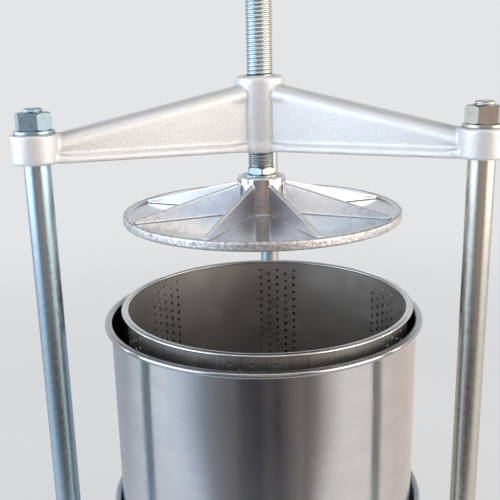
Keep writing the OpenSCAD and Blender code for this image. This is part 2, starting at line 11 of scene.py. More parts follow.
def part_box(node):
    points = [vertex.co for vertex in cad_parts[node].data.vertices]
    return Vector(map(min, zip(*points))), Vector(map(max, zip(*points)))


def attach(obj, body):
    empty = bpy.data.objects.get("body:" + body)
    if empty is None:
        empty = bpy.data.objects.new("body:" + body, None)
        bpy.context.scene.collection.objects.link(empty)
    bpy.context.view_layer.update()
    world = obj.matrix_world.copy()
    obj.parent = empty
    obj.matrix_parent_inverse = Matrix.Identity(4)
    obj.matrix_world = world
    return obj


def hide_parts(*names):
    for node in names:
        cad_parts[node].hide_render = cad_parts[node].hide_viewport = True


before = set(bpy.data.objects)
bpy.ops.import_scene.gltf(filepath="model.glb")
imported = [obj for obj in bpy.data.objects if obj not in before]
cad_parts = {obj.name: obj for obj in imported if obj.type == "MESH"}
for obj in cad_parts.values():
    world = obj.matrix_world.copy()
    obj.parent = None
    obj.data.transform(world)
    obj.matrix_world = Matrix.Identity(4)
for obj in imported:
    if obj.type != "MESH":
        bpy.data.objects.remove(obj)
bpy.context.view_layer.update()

bl_info = {
    "name": "Spindle fruit press",
    "version": (1, 0, 0),
    "blender": (4, 5, 0),
    "location": "View3D > Sidebar > Fruit press",
    "description": "Dresses the packed model of a three-post fruit press and lights it",
    "category": "Object",
}

MM = 0.001
TURN = 2 * math.pi
WELD_MM = 0.002  # two vertices as close as this are one

# Angles round the spindle, as in the CAD: the rear post stands on +Y, the spout on -Y
REAR = math.pi / 2
POST_ANGLES = (REAR, REAR + TURN / 3, REAR + 2 * TURN / 3)
FRONT = -math.pi / 2


def box_mm(node):
    """Lowest and highest corner of a CAD node, in millimetres."""
    low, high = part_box(node)
    return low / MM, high / MM


def linear(text):
    """Linear RGBA from an sRGB hex value."""
    channels = [int(text[i:i + 2], 16) / 255 for i in (1, 3, 5)]
    return tuple(
        c / 12.92 if c <= 0.04045 else ((c + 0.055) / 1.055) ** 2.4 for c in channels
    ) + (1.0,)


def colour(name, text, description):
    return FloatVectorProperty(
        name=name, description=description, subtype="COLOR", size=4,
        min=0.0, max=1.0, default=linear(text),
    )


def length(name, millimetres, description):
    return FloatProperty(
        name=name, description=description, subtype="DISTANCE", unit="LENGTH",
        min=0.0, default=millimetres * MM,
    )


def rotation(name, degrees, description):
    return FloatProperty(
        name=name, description=description, subtype="ANGLE", unit="ROTATION",
        default=math.radians(degrees),
    )


def number(name, default, description):
    return IntProperty(name=name, description=description, default=default, min=1)


def watts(name, default, description):
    return FloatProperty(
        name=name, description=description, subtype="POWER", unit="POWER", default=default,
    )


class PressColours(PropertyGroup):
    paint: colour("Silver paint", "#EBEBEC", "Aluminium-flake paint on the castings")
    paint_shade: colour("Paint in the hollows", "#D6D9DE", "The same paint where it lies thin")
    zinc: colour("Zinc plating", "#B3CBD6", "Bright zinc on spindle, nuts and posts")
    # painted light: the zinc as the warm lamp on the right lights it
    zinc_warm_lit: colour("Straw zinc", "#D2D1C6", "The same plating where its seal lies thicker")
    basket: colour("Basket steel", "#CFCCC8", "Matt rolled stainless sheet")
    # painted shade: the sheet's outside, in the narrow gap inside the jacket
    basket_outside_shade: colour("Basket's outside", "#B2B0AE", "The same sheet outside, left dark")
    jacket: colour("Jacket steel", "#E2E2E3", "Satin brushed stainless sheet")
    plate: colour("Cast aluminium", "#CFD1D3", "Bare tumbled aluminium")
    tray: colour("Tray enamel", "#A9B5C3", "Blue-grey enamel on the tray and its spout")
    bronze: colour("Bronze", "#B08A52", "Turned bronze of the spindle bush")
    oxide: colour("Black oxide", "#2A2A2C", "Black oxide on the small screws")
    knob: colour("Knob", "#141416", "Glossy phenolic resin")
    floor: colour("Floor", "#E9E9E8", "Pale studio floor")
    sky: colour("Backdrop", "#E4E5E7", "Pale backdrop beyond the floor")


class PressSizes(PropertyGroup):
    thread_pitch: length("Thread pitch", 3.2, "Rise of the spindle's thread in one turn")
    thread_depth: length("Thread depth", 0.7, "Depth of the rounded thread")
    neck: length("Neck", 16.0, "Diameter of the spindle's two necks")
    post_pitch: length("Post thread pitch", 2.0, "Pitch of the threads on the posts")
    post_end: length("Post end", 16.0, "Diameter of the posts' threaded ends")
    post_nut: length("Post nut", 24.0, "Width across flats of the nuts on the posts")
    post_washer: length("Post washer", 30.0, "Outer diameter of the washers on the posts")
    boss: length("Boss", 22.0, "Height of the yoke's bosses on the posts")
    web: length("Web", 21.0, "Thickness of the yoke's arms between rail and flange")
    rail: length("Rail width", 23.0, "Width of the rail along the top of each arm")
    rail_height: length("Rail height", 9.0, "Height of that rail")
    flange: length("Flange width", 27.0, "Width of the flange along the foot of each arm")
    flange_round: length("Flange rounding", 4.0, "Depth of the flange's rounded upper edges")
    flange_height: length("Flange height", 6.9, "Height of the flange along the foot of each arm")
    plate_floor: length("Plate floor", 5.0, "Thickness of the press plate between its ribs")
    hole: length("Drain hole", 3.0, "Diameter of the holes in the basket")
    hole_row: length("Hole row pitch", 7.9, "Distance between holes in one column")
    hole_column: length("Hole column pitch", 8.6, "Distance between columns of holes")
    hole_margin: length("Hole margin", 9.8, "Distance from the basket's ends to the first holes")
    sheet: length("Sheet", 1.0, "Thickness of the basket's and the jacket's sheet")
    rim_width: length("Rim width", 4.6, "Width that the basket's rims stand out from its wall")
    rim_height: length("Rim height", 2.2, "Height of the basket's rims")
    rim_inset: length("Rim inset", 0.3, "Width that the basket's rims stand in from its wall")
    bead_width: length("Bead width", 6.4, "Width of the jacket's rolled bead")
    bead_height: length("Bead height", 4.6, "Height of the jacket's rolled bead")
    notch_width: length("Notch width", 26.0, "Width of the jacket's notch over the spout")
    notch_height: length("Notch height", 18.0, "Height of the jacket's notch")
    cast_voxel: length("Casting detail", 0.9, "Cell size in which the castings are rounded")
    plate_voxel: length("Plate detail", 0.55, "Cell size in which the press plate is rounded")
    hole_groups: number("Hole groups", 6, "Groups of holes round the basket")
    hole_columns: number("Hole columns", 5, "Columns of holes in a group")
    hole_turn: rotation("Hole turn", 3.2, "Turn of the hole groups, clockwise from above")
    nut_turn: rotation("Nut turn", 6.0, "Turn of the thrust nut's front corner to the right")


class PressStudio(PropertyGroup):
    lens: FloatProperty(
        name="Lens", description="Focal length on a 36 mm sensor", default=56.16, min=10.0,
    )
    left_lamp: watts("Left lamp", 41.0, "Power of the cool lamp")
    right_lamp: watts("Right lamp", 41.0, "Power of the warm lamp")
    top_lamp: watts("Top lamp", 6.0, "Power of the lamp overhead")
    fill: FloatProperty(
        name="Fill", description="Strength of the light from all round", default=0.4, min=0.0,
    )
    floor_glow: FloatProperty(
        name="Floor glow", description="Share of the floor's paleness that no lamp makes",
        subtype="FACTOR", default=0.7, min=0.0, max=1.0,
    )


def add(near, kind, inputs=None, **settings):
    """Adds a node to the tree that near is or belongs to, gives it its settings, and links or
    sets its inputs."""
    tree = near.id_data
    made = tree.nodes.new(kind)
    for name, value in settings.items():
        setattr(made, name, value)
    for key, value in (inputs or {}).items():
        if isinstance(value, bpy.types.NodeSocket):
            tree.links.new(value, made.inputs[key])
        else:
            made.inputs[key].default_value = value
    return made


def start_material(name):
    """An empty material: the place on the piece, mottle over that place, and a finishing call."""
    material = bpy.data.materials.new(name)
    material.use_nodes = True
    material.node_tree.nodes.clear()
    place = add(material.node_tree, "ShaderNodeTexCoord").outputs["Object"]

    def finish(**inputs):
        shader = add(place, "ShaderNodeBsdfPrincipled", inputs)
        add(place, "ShaderNodeOutputMaterial", {"Surface": shader.outputs[0]})
        return material

    return place, partial(mottle, place), finish


def maths(operation, first, second, **settings):
    inputs = {0: first, 1: second}
    return add(first, "ShaderNodeMath", inputs, operation=operation, **settings).outputs[0]


def ramp(value, start, end, low=0.0, high=1.0, **settings):
    """A number that goes from low to high as value goes from start to end."""
    inputs = {"Value": value, 1: start, 2: end, 3: low, 4: high}
    return add(value, "ShaderNodeMapRange", inputs, **settings).outputs[0]


def zone(value, start_mm, end_mm):
    """Nothing up to the first place along a length, and one from the second on."""
    return ramp(value, start_mm * MM, end_mm * MM)


def axis(vector, name):
    return add(vector, "ShaderNodeSeparateXYZ", {0: vector}).outputs[name]


def off_axis(place):
    """The distance from the upright line through the middle of the press."""
    level = add(place, "ShaderNodeVectorMath", {0: place, 1: (1, 1, 0)}, operation="MULTIPLY")
    away = add(place, "ShaderNodeVectorMath", {0: level.outputs[0]}, operation="LENGTH")
    return away.outputs["Value"]


def facing(near):
    """The direction in which the surface looks, without its bumps."""
    return add(near, "ShaderNodeNewGeometry").outputs["True Normal"]


def mottle(place, size_mm, low, high, detail=3.0, stretch=(1, 1, 1), roughness=0.5):
    """A number that wanders between low and high over patches of this size."""
    at = add(place, "ShaderNodeVectorMath", {0: place, 1: stretch}, operation="MULTIPLY")
    # one feature of the noise is 1 / Scale wide, and coordinates are in metres
    grain = add(place, "ShaderNodeTexNoise", {
        "Vector": at.outputs[0], "Scale": 1000.0 / size_mm,
        "Detail": detail, "Roughness": roughness,
    })
    return ramp(grain.outputs["Fac"], 0.3, 0.7, low, high, clamp=False)


def tint(share, *colours):
    """A colour between two, by share. Text is taken as a hex value."""
    first, second = (linear(c) if isinstance(c, str) else c for c in colours)
    return add(share, "ShaderNodeMix", {0: share, 6: first, 7: second}, data_type="RGBA").outputs[2]


def between(share, first, second):
    """A number between two, by share."""
    inputs = {0: share, 2: first, 3: second}
    return add(share, "ShaderNodeMix", inputs, data_type="FLOAT").outputs[0]


def raised(height, depth_mm, strength, below=None):
    """A surface normal from a height between 0 and 1 and its real depth."""
    inputs = {"Height": height, "Distance": depth_mm * MM, "Strength": strength}
    if below is not None:
        inputs["Normal"] = below
    return add(height, "ShaderNodeBump", inputs).outputs[0]


def crevice_shade(near, reach_mm, low, high):
    """The share of painted shade: one in narrow inner corners, nothing in the open."""
    shut = add(near, "ShaderNodeAmbientOcclusion", {"Distance": reach_mm * MM}, samples=8)
    return ramp(shut.outputs["AO"], high, low)


def sand_cast_paint(colours):
    """Aluminium-flake paint sprayed on a sand casting: the sand's grain shows through it,
    and the flakes give a broad, milky sheen."""
    place, mottled, finish = start_material("Aluminium-flake paint on sand casting")
    waves = raised(mottled(11, 0, 1, detail=1.0), 0.12, 0.4)
    grain = raised(mottled(1.7, 0, 1, detail=4.0, roughness=0.65), 0.17, 0.8, waves)
    # lumps of sand that clung to the casting, a few to each arm
    lump = ramp(mottled(4.5, 0, 1, detail=2.0, stretch=(1, 1, 1.6)), 0.86, 1.0)
    lumps = raised(lump, 0.25, 0.5, grain)
    # drips that ran down the hub before the paint dried: nothing ran far on the arms
    drip = ramp(mottled(2.6, 0, 1, detail=1.0, stretch=(1, 1, 0.2)), 0.88, 1.0)
    drip = maths("MULTIPLY", drip, zone(off_axis(place), 30, 24))
    thin = mottled(9, 0.0, 0.15, detail=4.0)
    paint = tint(thin, colours.paint, colours.paint_shade)
    # painted shade: the paint darkens towards #7E8794 in narrow inner corners, such as where web
    # meets flange
    return finish(**{
        "Base Color": tint(crevice_shade(place, 9, 0.35, 0.92), paint, "#7E8794"),
        "Metallic": 0.4, "Roughness": mottled(5, 0.34, 0.44),
        "Coat Weight": 0.1, "Coat Roughness": 0.3, "Normal": raised(drip, 0.3, 0.8, lumps),
    })


def bright_zinc(colours):
    """Bright zinc on turned or rolled steel: a thin mirror over fine tool marks. Painted light
    gives it a bluish tint on the left and a faint straw tint on the right, after the two lamps."""
    place, mottled, finish = start_material("Bright zinc plating on turned steel")
    marks = mottled(0.5, 0, 1, stretch=(0.05, 0.05, 1))
    cloud = mottled(11, 0.0, 0.35)
    # painted light: bluish on the left, under the cool lamp, and straw-coloured on the right, under
    # the warm lamp
    painted_light_zinc = tint(zone(axis(place, "X"), -5, 6), colours.zinc, colours.zinc_warm_lit)
    # painted shade on the thread above the thrust nut, below the yoke, fading out up to the yoke
    nut_top, yoke_low = box_mm("thrust_nut")[1].z, box_mm("yoke")[0].z
    level = axis(place, "Z")
    shade_fade = ramp(level, (yoke_low + 4) * MM, nut_top * MM, 0.0, 0.9)
    shade_above_nut = maths("MULTIPLY", zone(level, nut_top, nut_top + 0.2), shade_fade)
    shade_above_nut = maths("MULTIPLY", shade_above_nut, zone(off_axis(place), 13, 12.5))
    painted_light_zinc = tint(shade_above_nut, painted_light_zinc, "#6B6F70")
    return finish(**{
        "Base Color": tint(cloud, painted_light_zinc, "#B4BEC4"),
        "Metallic": 1.0, "Roughness": mottled(4, 0.26, 0.36),
        "Normal": raised(marks, 0.015, 0.4),
    })


def matt_rolled_stainless(colours):
    """Stainless sheet as rolled, then brushed up and down: the fine lines run along Z."""
    place, mottled, finish = start_material("Matt rolled stainless sheet")
    # the real lines are 0.1 mm apart, drawn 0.8 mm apart so that they show
    lines = mottled(0.8, 0, 1, stretch=(1, 1, 0.02))
    inside = tint(mottled(34, 0.0, 0.5), colours.basket, "#BDBAB7")
    # painted shade: the outside, across a narrow gap from the jacket, is darker than the inside
    inputs = {0: place, 1: facing(place)}
    outward = add(place, "ShaderNodeVectorMath", inputs, operation="DOT_PRODUCT").outputs["Value"]
    outer = ramp(outward, 0.02, 0.09)
    wall = tint(outer, inside, tint(lines, colours.basket_outside_shade, "#888684"))
    # the hem is polished by hands, from the upper edge down to where it meets the wall
    hem = box_mm("basket")[1].z - bpy.context.scene.press_sizes.rim_height / MM
    hem = zone(axis(place, "Z"), hem - 0.6, hem - 0.2)
    return finish(**{
        "Base Color": tint(hem, wall, "#E6E6E5"),
        "Metallic": 1.0, "Roughness": between(hem, mottled(22, 0.4, 0.5), 0.24),
        "Normal": raised(lines, 0.05, 0.6),
    })


def satin_brushed_stainless(colours):
    """Stainless sheet brushed round the cylinder: reflections stay sharp sideways and are
    drawn out upwards, with wiped smears and a few handling scratches."""
    place, mottled, finish = start_material("Satin brushed stainless sheet")
    # the real lines are 0.08 mm apart, drawn 0.5 mm apart so that they show
    lines = mottled(0.5, 0, 1, stretch=(0.012, 0.012, 1))
    smear = mottled(26, 0.0, 1.0, detail=4.0, stretch=(1, 1, 1.8))
    # scratches from stacking, in two slanting directions
    scratches = []
    for slant in (0.35, -0.6):
        inputs = {"Vector": place, "Axis": (0, 1, 0), "Angle": slant}
        tilted = add(place, "ShaderNodeVectorRotate", inputs).outputs[0]
        fine = mottle(tilted, 2.2, 0, 1, detail=0.0, stretch=(1, 1, 0.05))
        fine = ramp(fine, 0.95, 1.0)
        there = mottled(21, -1.2, 1.0, detail=1.0)
        scratches.append(maths("MULTIPLY", fine, there, use_clamp=True))
    scratch = maths("MAXIMUM", *scratches)
    brushed = raised(lines, 0.01, 0.35)
    skin = tint(smear, colours.jacket, "#D8D8DA")
    skin = tint(maths("MULTIPLY", lines, 0.25), skin, "#C2C2C4")
    # the bead is duller than the wall, and its greyer colour is painted shade
    bead = box_mm("jacket")[1].z - bpy.context.scene.press_sizes.bead_height / MM
    bead = zone(axis(place, "Z"), bead - 0.8, bead)
    wiped = ramp(smear, 0.0, 1.0, 0.13, 0.19)
    return finish(**{
        "Base Color": tint(bead, skin, "#B9BABC"),
        "Metallic": 1.0, "Roughness": between(bead, wiped, 0.22),
        "Anisotropic": 0.7, "Anisotropic Rotation": 0.25,
        "Tangent": add(place, "ShaderNodeTangent", direction_type="RADIAL", axis="Z").outputs[0],
        "Normal": raised(scratch, 0.05, 0.5, brushed),
    })


def tumbled_aluminium(colours):
    """A bare aluminium casting: floor and hub are turned to a soft mirror, the ribs are as
    cast and tumbled, and the rim is knocked and filed all round, rough, pitted and bright."""
    place, mottled, finish = start_material("Tumbled aluminium casting")
    skin = raised(mottled(6, 0, 1, detail=2.0), 0.12, 0.5)
    grain = raised(mottled(1.8, 0, 1, detail=2.0), 0.04, 0.5, skin)
    pits = raised(mottled(2.4, 0, 1, detail=4.0, roughness=0.6), 0.35, 0.8, grain)

    low, high = box_mm("press_plate")
    floor_z = low.z + bpy.context.scene.press_sizes.plate_floor / MM
    away, level = off_axis(place), axis(place, "Z")
    rim = zone(away, high.x - 4, high.x - 1.5)
    flat = zone(level, floor_z + 0.8, floor_z + 0.2)
    turned = maths("MAXIMUM", flat, zone(away, 23, 21.5))

    # ribs' upper edges and all else that faces up above the floor: worn rougher, and whitened as a
    # painted highlight
    edge = ramp(axis(facing(place), "Z"), 0.35, 0.6)
    edge = maths("MULTIPLY", edge, zone(level, floor_z + 2, floor_z + 3))
    worn = maths("MAXIMUM", edge, rim)

    tarnished = tint(mottled(12, 0.0, 0.7), colours.plate, "#B8BBC2")
    metal = tint(turned, "#E0E2E6", tarnished)
    knocks = mottled(2.6, -0.2, 0.8, detail=4.0)
    knocked = tint(knocks, "#EDEEF0", "#A09A98")
    # painted highlight: what faces up above the floor is whitened
    metal = tint(rim, tint(edge, metal, "#FFFFFF"), knocked)
    rough = between(turned, mottled(3, 0.26, 0.36), mottled(4, 0.1, 0.18))
    normals = {0: rim, 4: grain, 5: pits}
    # painted shade: narrow inner corners, such as the feet of the ribs, darken towards #4A4C50
    return finish(**{
        "Base Color": tint(crevice_shade(place, 3.5, 0.25, 0.75), metal, "#4A4C50"),
        "Metallic": 1.0, "Roughness": between(worn, rough, 0.4),
        "Normal": add(place, "ShaderNodeMix", normals, data_type="VECTOR").outputs[1],
    })


def smooth_enamel(colours):
    """Stoved enamel on sheet steel: closed and smooth, with a faint orange-peel."""
    _, mottled, finish = start_material("Blue-grey stoved enamel")
    peel = mottled(3.5, 0, 1, detail=1.0)
    return finish(**{
        "Base Color": tint(mottled(40, 0, 0.4), colours.tray, "#98A3B0"),
        "Metallic": 0.1, "Roughness": mottled(15, 0.28, 0.38),
        "Coat Weight": 0.5, "Coat Roughness": 0.12, "Normal": raised(peel, 0.05, 0.4),
    })


def turned_bronze(colours):
    """Bronze straight from the lathe, with its rings of tool marks."""
    _, mottled, finish = start_material("Turned bronze")
    rings = mottled(0.4, 0, 1, stretch=(0.05, 0.05, 1))
    return finish(**{
        "Base Color": tint(mottled(6, 0, 0.6), colours.bronze, "#8C6A3E"),
        "Metallic": 1.0, "Roughness": mottled(3, 0.28, 0.4),
        "Normal": raised(rings, 0.02, 0.5),
    })


def black_oxide(colours):
    """Black oxide on small screws: dull, slightly oily, paler where a key has turned."""
    _, mottled, finish = start_material("Black oxide on steel")
    return finish(**{
        "Base Color": tint(mottled(2, 0, 0.6), colours.oxide, "#454547"),
        "Metallic": 0.8, "Roughness": mottled(2, 0.36, 0.5),
    })


def phenolic_resin(colours):
    """Moulded phenolic resin: deep black, glossy, with the faintest moulding waves."""
    _, mottled, finish = start_material("Moulded phenolic resin")
    return finish(**{
        "Base Color": tint(mottled(8, 0, 0.5), colours.knob, "#1E1E21"),
        "Roughness": mottled(12, 0.1, 0.2), "IOR": 1.6,
        "Normal": raised(mottled(12, 0, 1, detail=1.0), 0.05, 0.3),
    })


FINISHES = {
    "paint": sand_cast_paint,
    "zinc": bright_zinc,
    "basket": matt_rolled_stainless,
    "jacket": satin_brushed_stainless,
    "aluminium": tumbled_aluminium,
    "enamel": smooth_enamel,
    "bronze": turned_bronze,
    "oxide": black_oxide,
    "resin": phenolic_resin,
}
_made = {}  # the materials by the names of their finishes


def finish_of(name):
    """The material of this finish, made once."""
    if name not in _made:
        _made[name] = FINISHES[name](bpy.context.scene.press_colours)
    return _made[name]


def placed(name, data):
    """A new object with this data, in the scene."""
    made = bpy.data.objects.new(name, data)
    bpy.context.scene.collection.objects.link(made)
    return made


def metres(name, built):
    """A mesh in metres from one in millimetres, which goes. All faces look outwards."""
    mesh = bpy.data.meshes.new(name)
    bmesh.ops.recalc_face_normals(built, faces=built.faces)
    built.to_mesh(mesh)
    built.free()
    mesh.transform(Matrix.Scale(MM, 4))
    return mesh


def joined(name, meshes, shift_mm):
    """These meshes as one, moved to the right."""
    whole = bmesh.new()
    for mesh in meshes:
        whole.from_mesh(mesh)
    bmesh.ops.translate(whole, verts=whole.verts, vec=(shift_mm * MM, 0, 0))
    made = bpy.data.meshes.new(name)
    whole.to_mesh(made)
    whole.free()
    return made


def piece(name, mesh, finish, body, replaced=(), sharp_deg=32):
    """Turns a mesh into a smooth-shaded piece that rides on its body. It is in metres, or
    still in the making and in millimetres."""
    if isinstance(mesh, bmesh.types.BMesh):
        bmesh.ops.remove_doubles(mesh, verts=mesh.verts, dist=WELD_MM)
        bmesh.ops.dissolve_degenerate(mesh, edges=mesh.edges, dist=0.0005)
        mesh = metres(name, mesh)
    mesh.name = name
    mesh.shade_smooth()
    mesh.set_sharp_from_angle(angle=math.radians(sharp_deg))
    mesh.materials.clear()
    mesh.materials.append(finish_of(finish))
    made = placed(name, mesh)
    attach(made, body)
    if replaced:
        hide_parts(*replaced)


def dress(finish, slot, *nodes):
    """Gives CAD nodes that stay in view their finish."""
    for node in nodes:
        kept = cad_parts[node]
        kept.data.materials.clear()
        kept.data.materials.append(finish_of(finish))


def polar(radius, angle, centre=(0, 0)):
    """The place at this distance and angle from centre."""
    return centre[0] + radius * math.cos(angle), centre[1] + radius * math.sin(angle)


def circle(target, radius, z, centre, segments):
    """A level ring of vertices. Its radius is a number, or a function of the angle."""
    made = []
    for angle in (TURN * i / segments for i in range(segments)):
        r = radius(angle) if callable(radius) else radius
        made.append(target.verts.new((*polar(r, angle, centre), z)))
    return made


def bridge(target, rings, closed=False):
    """Faces from each ring of vertices to the next, and from the last to the first if closed."""
    for low, high in zip(rings, rings[1:] + rings[:1] if closed else rings[1:]):
        for i in range(len(low)):
            j = (i + 1) % len(low)
            # at a pole all vertices of a ring are one, and the face has three corners
            corners = list(dict.fromkeys((low[i], low[j], high[j], high[i])))
            if len(corners) > 2:
                target.faces.new(corners)


def lathe(target, profile, centre=(0, 0), segments=96, closed=False):
    """Turns a profile of (radius, z) about the upright line through centre."""
    bridge(target, [
        circle(target, radius, z, centre, segments) if radius > 0
        else [target.verts.new((*centre, z))] * segments
        for radius, z in profile
    ], closed)
    return target


def arc(cx, cz, radius, start_deg, end_deg, steps):
    """Points of an arc in the lathe's (radius, z) plane."""
    return [
        polar(radius, math.radians(start_deg + (end_deg - start_deg) * k / steps), (cx, cz))
        for k in range(steps + 1)
    ]


def ring(outer, inner, low, high, edge, centre=(0, 0), target=None):
    """A washer or bush with all four edges broken."""
    target = target or bmesh.new()
    profile = (
        arc(outer - edge, low + edge, edge, -90, 0, 3)
        + arc(outer - edge, high - edge, edge, 0, 90, 3)
        + arc(inner + edge, high - edge, edge, 90, 180, 3)
        + arc(inner + edge, low + edge, edge, 180, 270, 3)
    )
    return lathe(target, profile, centre, closed=True)


def hexagon_nut(target, centre, low, high, across, bore, turn):
    """A hexagon nut: six flats cut by the chamfer cones of its two faces."""
    segments, levels = 96, 7
    chamfer = across * 0.09
    half = across / 2
    face, slope, broken = half * 0.97, math.tan(math.radians(30)), 0.5

    def reach(z, angle):
        flat = half / math.cos((angle - turn + TURN / 12) % (TURN / 6) - TURN / 12)
        return min(flat, face + min(z - low, high - z) / slope)

    heights = [low + chamfer * k / levels for k in range(levels + 1)]
    heights += [high - chamfer * k / levels for k in range(levels, -1, -1)]
    rings = [circle(target, partial(reach, z), z, centre, segments) for z in heights]
    for radius, z in (
        (bore + broken, high), (bore, high - broken), (bore, low + broken), (bore + broken, low),
    ):
        rings.append(circle(target, radius, z, centre, segments))
    bridge(target, rings, closed=True)
    return target


def threaded(target, radius, depth, pitch, low, high, centre=(0, 0)):
    """A right-hand rounded thread that runs out at both ends."""
    segments, steps = 32, 8
    rows = int(math.ceil(((high - low) / pitch + 1) * steps)) + steps
    grid = {}
    for row in range(-steps, rows + 1):
        for i in range(segments + 1):
            z = low + (row / steps + i / segments) * pitch
            crest = 0.5 - 0.5 * math.cos(TURN * row / steps)
            fade = min(1.0, max(0.0, (z - low) / pitch), max(0.0, (high - z) / pitch))
            r = radius - depth + depth * crest * fade
            z = min(max(z, low), high)
            grid[row, i] = target.verts.new((*polar(r, TURN * i / segments, centre), z))
    for row in range(-steps, rows):
        for i in range(segments):
            corners = (grid[row, i], grid[row, i + 1], grid[row + 1, i + 1], grid[row + 1, i])
            # where the thread is cut off level, no face is left
            if max(v.co.z for v in corners) - min(v.co.z for v in corners) > 1e-9:
                target.faces.new(corners)
    return target


def with_modifiers(name, mesh, *modifiers):
    """The mesh as these modifiers leave it, each a kind and its settings. The first mesh goes."""
    holder = placed(name + "_raw", mesh)
    for kind, settings in modifiers:
        made = holder.modifiers.new(kind.title(), kind)
        for key, value in settings.items():
            setattr(made, key, value)
    bpy.context.view_layer.update()
    depsgraph = bpy.context.evaluated_depsgraph_get()
    done = bpy.data.meshes.new_from_object(holder.evaluated_get(depsgraph))
    bpy.data.objects.remove(holder)
    bpy.data.meshes.remove(mesh)
    return done


def rounded_copy(node, voxel_mm, rounds, keep, shape=None):
    """A casting's mesh: the CAD solid with every edge and inner corner rounded, as sand
    leaves them. What shape changes is rounded too."""
    soft = bmesh.new()
    soft.from_mesh(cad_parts[node].data)
    bmesh.ops.remove_doubles(soft, verts=soft.verts, dist=1e-6)
    mesh = bpy.data.meshes.new(node)
    soft.to_mesh(mesh)
    soft.free()
    mesh = with_modifiers(node, mesh, ("REMESH", {"mode": "VOXEL", "voxel_size": voxel_mm * MM}))
    if shape:
        shape(mesh)
    smooth = "SMOOTH", {"factor": 0.5, "iterations": rounds}
    return with_modifiers(node, mesh, smooth, ("DECIMATE", {"ratio": keep}))


def thickened(name, built, thickness_mm, offset):
    """A sheet-metal mesh in millimetres, given its thickness, as a mesh in metres."""
    bmesh.ops.remove_doubles(built, verts=built.verts, dist=WELD_MM)
    return with_modifiers(name, metres(name, built), (
        "SOLIDIFY", {"thickness": thickness_mm * MM, "offset": offset, "use_even_offset": True},
    ))


def share_of(value):
    """The value, held between nothing and one."""
    return min(1, max(0, value))


class PRESS_OT_castings(Operator):
    """Yoke, base frame and the three feet: sand castings under silver paint"""

    bl_idname = "press.castings"
    bl_label = "Castings"

    def execute(self, context):
        sizes = context.scene.press_sizes
        voxel = sizes.cast_voxel / MM
        for node, rounds, keep in (
            ("yoke", 16, 0.5), ("base_frame", 8, 0.3),
            ("foot_left", 8, 0.4), ("foot_right", 8, 0.4), ("foot_rear", 8, 0.4),
        ):
            shape = self.soften_arms if node == "yoke" else None
            mesh = rounded_copy(node, voxel, rounds, keep, shape)
            piece(node + "_casting", mesh, "paint", "frame", (node,), sharp_deg=180)
        return {"FINISHED"}

    @staticmethod
    def soften_arms(mesh):
        """Runs the rail along the top of each arm softly out into the web below it, and
        rounds the upper edges of the flange along the arm's foot."""
        sizes = bpy.context.scene.press_sizes
        rail_h, rail_half = sizes.rail_height / MM, sizes.rail / MM / 2
        flange_h, flange_half = sizes.flange_height / MM, sizes.flange / MM / 2
        web_half, drop = sizes.web / MM / 2, sizes.flange_round / MM
        # two places along an arm that give its outline, and how near to them it is read
        inner, outer = 50, 120
        along_by, across_by = 1, 4
        # the bare arm, and the lengths over which the change grows at hub, web and boss
        hub_end, boss_start = 24, 172
        hub_over, web_over, boss_over = 10, 4, 8
        # how far off its sharp outline a face of the mesh may lie and still be moved
        web_off, flange_off, above_off = 0.6, 1.2, 1
        for angle in POST_ANGLES:
            out = Vector((*polar(1, angle), 0))
            side = Vector((-out.y, out.x, 0))
            found = [
                (vert, vert.co.dot(out) / MM, vert.co.dot(side) / MM, vert.co.z / MM)
                for vert in mesh.vertices
            ]
            near, far = (
                [z for _, along, across, z in found if abs(along - at) < along_by
                 and abs(across) < across_by]
                for at in (inner, outer)
            )
            for vert, along, across, z in found:
                share = (along - inner) / (outer - inner)
                top = max(near) + (max(far) - max(near)) * share
                bottom = min(near) + (min(far) - min(near)) * share
                web_h = top - bottom - rail_h - flange_h
                # it grows beyond the hub's fillet, and ends before the boss and where the web does
                grown = share_of((along - hub_end) / hub_over) * share_of(web_h / web_over)
                grown *= share_of((boss_start - along) / boss_over)
                if not grown:
                    continue
                below = (top - z - rail_h) / max(1, web_h)
                if 0 <= below < 1 and web_half - web_off < abs(across) < rail_half:
                    wide = web_half + (rail_half - web_half) * (1 - below) * grown
                    if abs(across) < wide:
                        vert.co += side * (math.copysign(wide, across) - across) * MM
                reach = (abs(across) - web_half) / (flange_half - web_half)
                if 0 < reach < flange_off:
                    rounding = 1 - math.sqrt(max(0, 1 - reach * reach))
                    limit = bottom + flange_h - drop * grown * rounding
                    if limit < z < bottom + flange_h + above_off:
                        vert.co.z = limit * MM


class PRESS_OT_press_plate(Operator):
    """The ribbed press plate, a bare aluminium casting"""

    bl_idname = "press.press_plate"
    bl_label = "Press plate"

    def execute(self, context):
        voxel = context.scene.press_sizes.plate_voxel / MM
        mesh = rounded_copy("press_plate", voxel, rounds=9, keep=0.5)
        piece("press_plate_casting", mesh, "aluminium", "press_plate",
              ("press_plate",), sharp_deg=180)
        return {"FINISHED"}


